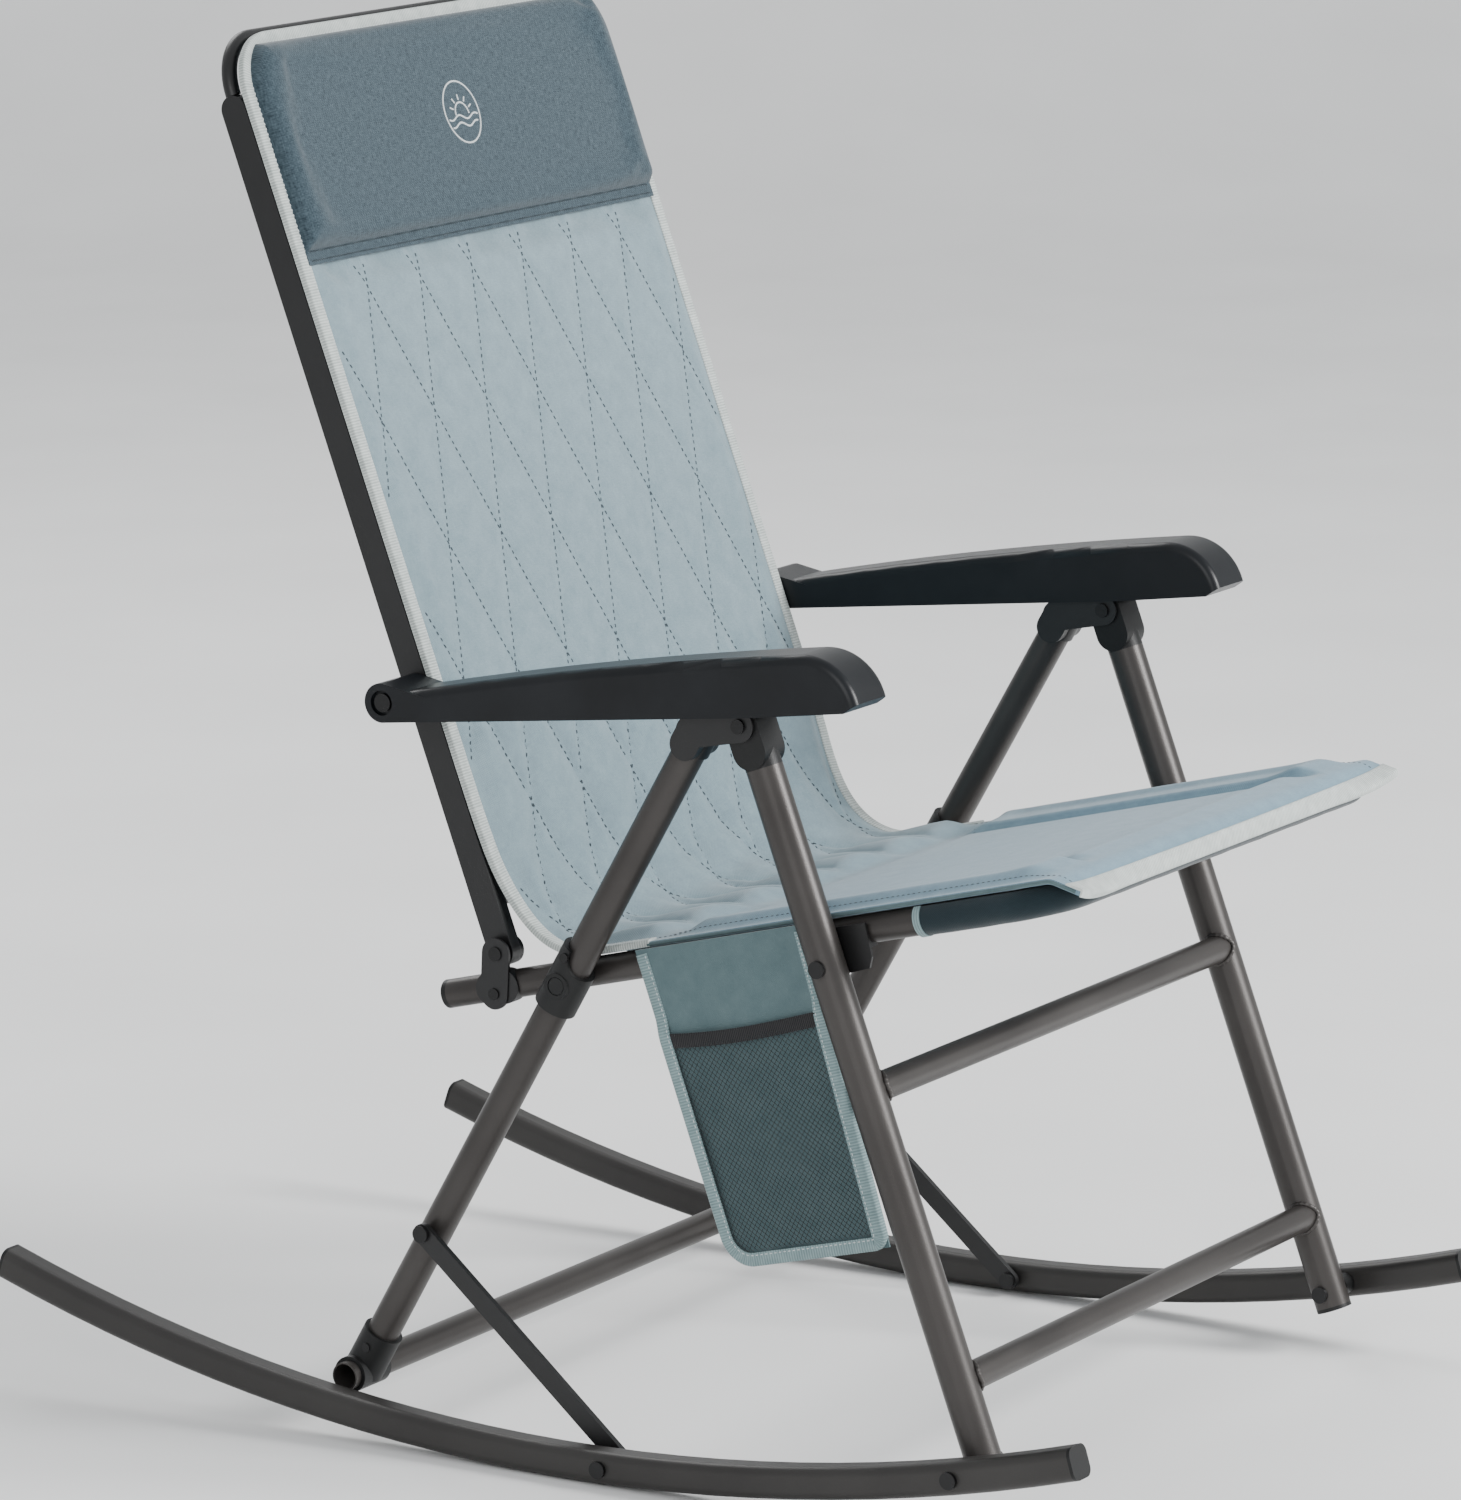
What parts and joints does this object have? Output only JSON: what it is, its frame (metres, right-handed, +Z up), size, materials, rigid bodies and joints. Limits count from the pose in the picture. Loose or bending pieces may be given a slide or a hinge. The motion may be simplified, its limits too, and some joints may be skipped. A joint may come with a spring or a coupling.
{
  "type": "folding camp rocking chair",
  "caption": "Folding camp rocking chair with a steel tube frame, quilted high back, notched recline arms, curved rockers and a side pocket.",
  "frame": {"origin": "on the floor under the middle of the rockers' box", "axes": "+Z up, -Y towards the front of the chair, +X towards the sitter's left"},
  "size_m": [0.663, 0.9605, 1.0661],
  "materials": {
    "frame_paint": "satin powder coat",
    "rocker_paint": "satin powder coat",
    "black_steel": "satin powder coat",
    "black_plastic": "fine matte moulding",
    "arm_plastic": "satin gloss moulding",
    "fastener": "smooth black",
    "panel_fabric": "heather weave, quilted",
    "headrest_fabric": "coarse melange weave",
    "pocket_fabric": "plain weave",
    "pocket_edge_tape": "ribbed tape",
    "pocket_net": "open net",
    "pocket_elastic": "elastic band"
  },
  "bodies": {
    "rockers": {"rocker_left": "rocker_paint", "rocker_right": "rocker_paint", "rocker_end_plugs": "black_plastic", "front_pivot_bolts": "fastener", "front_pivot_spacers": "black_plastic", "link_bolts": "fastener"},
    "front_legs": {"front_leg_left": "frame_paint", "front_leg_right": "frame_paint", "leg_top_knuckle_left": "black_plastic", "leg_top_knuckle_right": "black_plastic", "front_leg_foot_caps": "black_plastic", "seat_pivot_rivets": "fastener", "upper_front_crossbar": "frame_paint", "lower_front_crossbar": "frame_paint"},
    "rear_legs": {"rear_leg_left": "frame_paint", "rear_leg_right": "frame_paint", "top_bracket_left": "black_steel", "top_bracket_right": "black_steel", "rear_foot_socket_left": "black_plastic", "rear_foot_socket_right": "black_plastic", "top_pivot_pins": "fastener", "latch_pins": "fastener", "rear_crossbar": "frame_paint", "foot_socket_rivets": "fastener"},
    "links": {"link_left": "black_steel", "link_right": "black_steel", "link_rivets": "fastener"},
    "sliders": {"slide_sleeve_left": "black_plastic", "slide_sleeve_right": "black_plastic", "sleeve_pivot_caps": "black_plastic", "sleeve_screws": "fastener"},
    "seat": {"seat_rail_left": "frame_paint", "seat_rail_right": "frame_paint", "seat_rail_rear_caps": "black_plastic", "seat_frame_elbows": "frame_paint", "seat_front_tube": "frame_paint", "seat_hanger_left": "black_steel", "seat_hanger_right": "black_steel", "back_saddle_left": "black_steel", "back_saddle_right": "black_steel", "back_saddle_rivets": "fastener", "seat_pad": "panel_fabric", "side_pocket_backing": "pocket_fabric", "side_pocket_binding": "pocket_edge_tape", "side_pocket_mesh": "pocket_net", "side_pocket_band": "pocket_elastic"},
    "back_hinge": {"back_pivot_rivets": "fastener"},
    "back": {"back_rail_left": "black_steel", "back_rail_right": "black_steel", "back_frame_elbows": "black_steel", "back_top_tube": "black_steel", "back_lower_stay": "black_steel", "back_pad": "panel_fabric", "headrest_pad": "headrest_fabric"},
    "arm_pin_left": {"arm_hub_pin_left": "fastener"},
    "arm_pin_right": {"arm_hub_pin_right": "fastener"},
    "arm_left": {"arm_left": "arm_plastic", "arm_hub_screw_left": "fastener"},
    "arm_right": {"arm_right": "arm_plastic", "arm_hub_screw_right": "fastener"}
  },
  "joints": [
    {"name": "leg_fold", "type": "hinge", "parent": "rockers", "child": "front_legs", "pos_m": [0, -0.3755, 0.05074], "axis": [1, 0, 0], "range_deg": [-66.6, 0]},
    {"name": "rear_leg_fold", "type": "hinge", "parent": "front_legs", "child": "rear_legs", "pos_m": [0, -0.1775, 0.581], "axis": [1, 0, 0], "range_deg": [-49.49, 0]},
    {"name": "link_swing", "type": "hinge", "parent": "rockers", "child": "links", "pos_m": [0, -0.075, 0.01314], "axis": [1, 0, 0], "range_deg": [0, 141.04]},
    {"name": "seat_fold", "type": "hinge", "parent": "front_legs", "child": "seat", "pos_m": [0, -0.24257, 0.40673], "axis": [1, 0, 0], "range_deg": [-90.44, 0], "deforming": ["side_pocket_backing", "side_pocket_binding", "side_pocket_mesh", "side_pocket_band"]},
    {"name": "sleeve_slide", "type": "slide", "parent": "rear_legs", "child": "sliders", "axis": [0, 0.5, -0.866], "range_m": [0, 0.1479]},
    {"name": "back_fold", "type": "hinge", "parent": "seat", "child": "back_hinge", "pos_m": [0, 0.0565, 0.37821], "axis": [1, 0, 0], "range_deg": [0, 90]},
    {"name": "recline", "type": "hinge", "parent": "back_hinge", "child": "back", "pos_m": [0, 0.0565, 0.37821], "axis": [1, 0, 0], "range_deg": [-20, 0]},
    {"name": "arm_fold_left", "type": "hinge", "parent": "back", "child": "arm_pin_left", "pos_m": [0, 0.12829, 0.57023], "axis": [1, 0, 0], "range_deg": [-97.6, 0]},
    {"name": "arm_level_left", "type": "hinge", "parent": "arm_pin_left", "child": "arm_left", "pos_m": [0, 0.12829, 0.57023], "axis": [1, 0, 0], "range_deg": [0, 14.6]},
    {"name": "arm_fold_right", "type": "hinge", "parent": "back", "child": "arm_pin_right", "pos_m": [0, 0.12829, 0.57023], "axis": [1, 0, 0], "range_deg": [-97.6, 0]},
    {"name": "arm_level_right", "type": "hinge", "parent": "arm_pin_right", "child": "arm_right", "pos_m": [0, 0.12829, 0.57023], "axis": [1, 0, 0], "range_deg": [0, 14.6]}
  ],
  "couplings": [
    {"joint": "rear_leg_fold", "follows": "leg_fold", "ratio": 0.73413},
    {"joint": "link_swing", "follows": "leg_fold", "ratio": -2.1088},
    {"joint": "seat_fold", "follows": "leg_fold", "ratio": 1.3489},
    {"joint": "sleeve_slide", "follows": "leg_fold", "m_per_rad": -0.12641},
    {"joint": "back_fold", "follows": "leg_fold", "ratio": -1.3423},
    {"joint": "arm_fold_left", "follows": "leg_fold", "ratio": 1.4565},
    {"joint": "arm_level_left", "follows": "recline", "ratio": -0.72},
    {"joint": "arm_fold_right", "follows": "leg_fold", "ratio": 1.4565},
    {"joint": "arm_level_right", "follows": "recline", "ratio": -0.72}
  ]
}
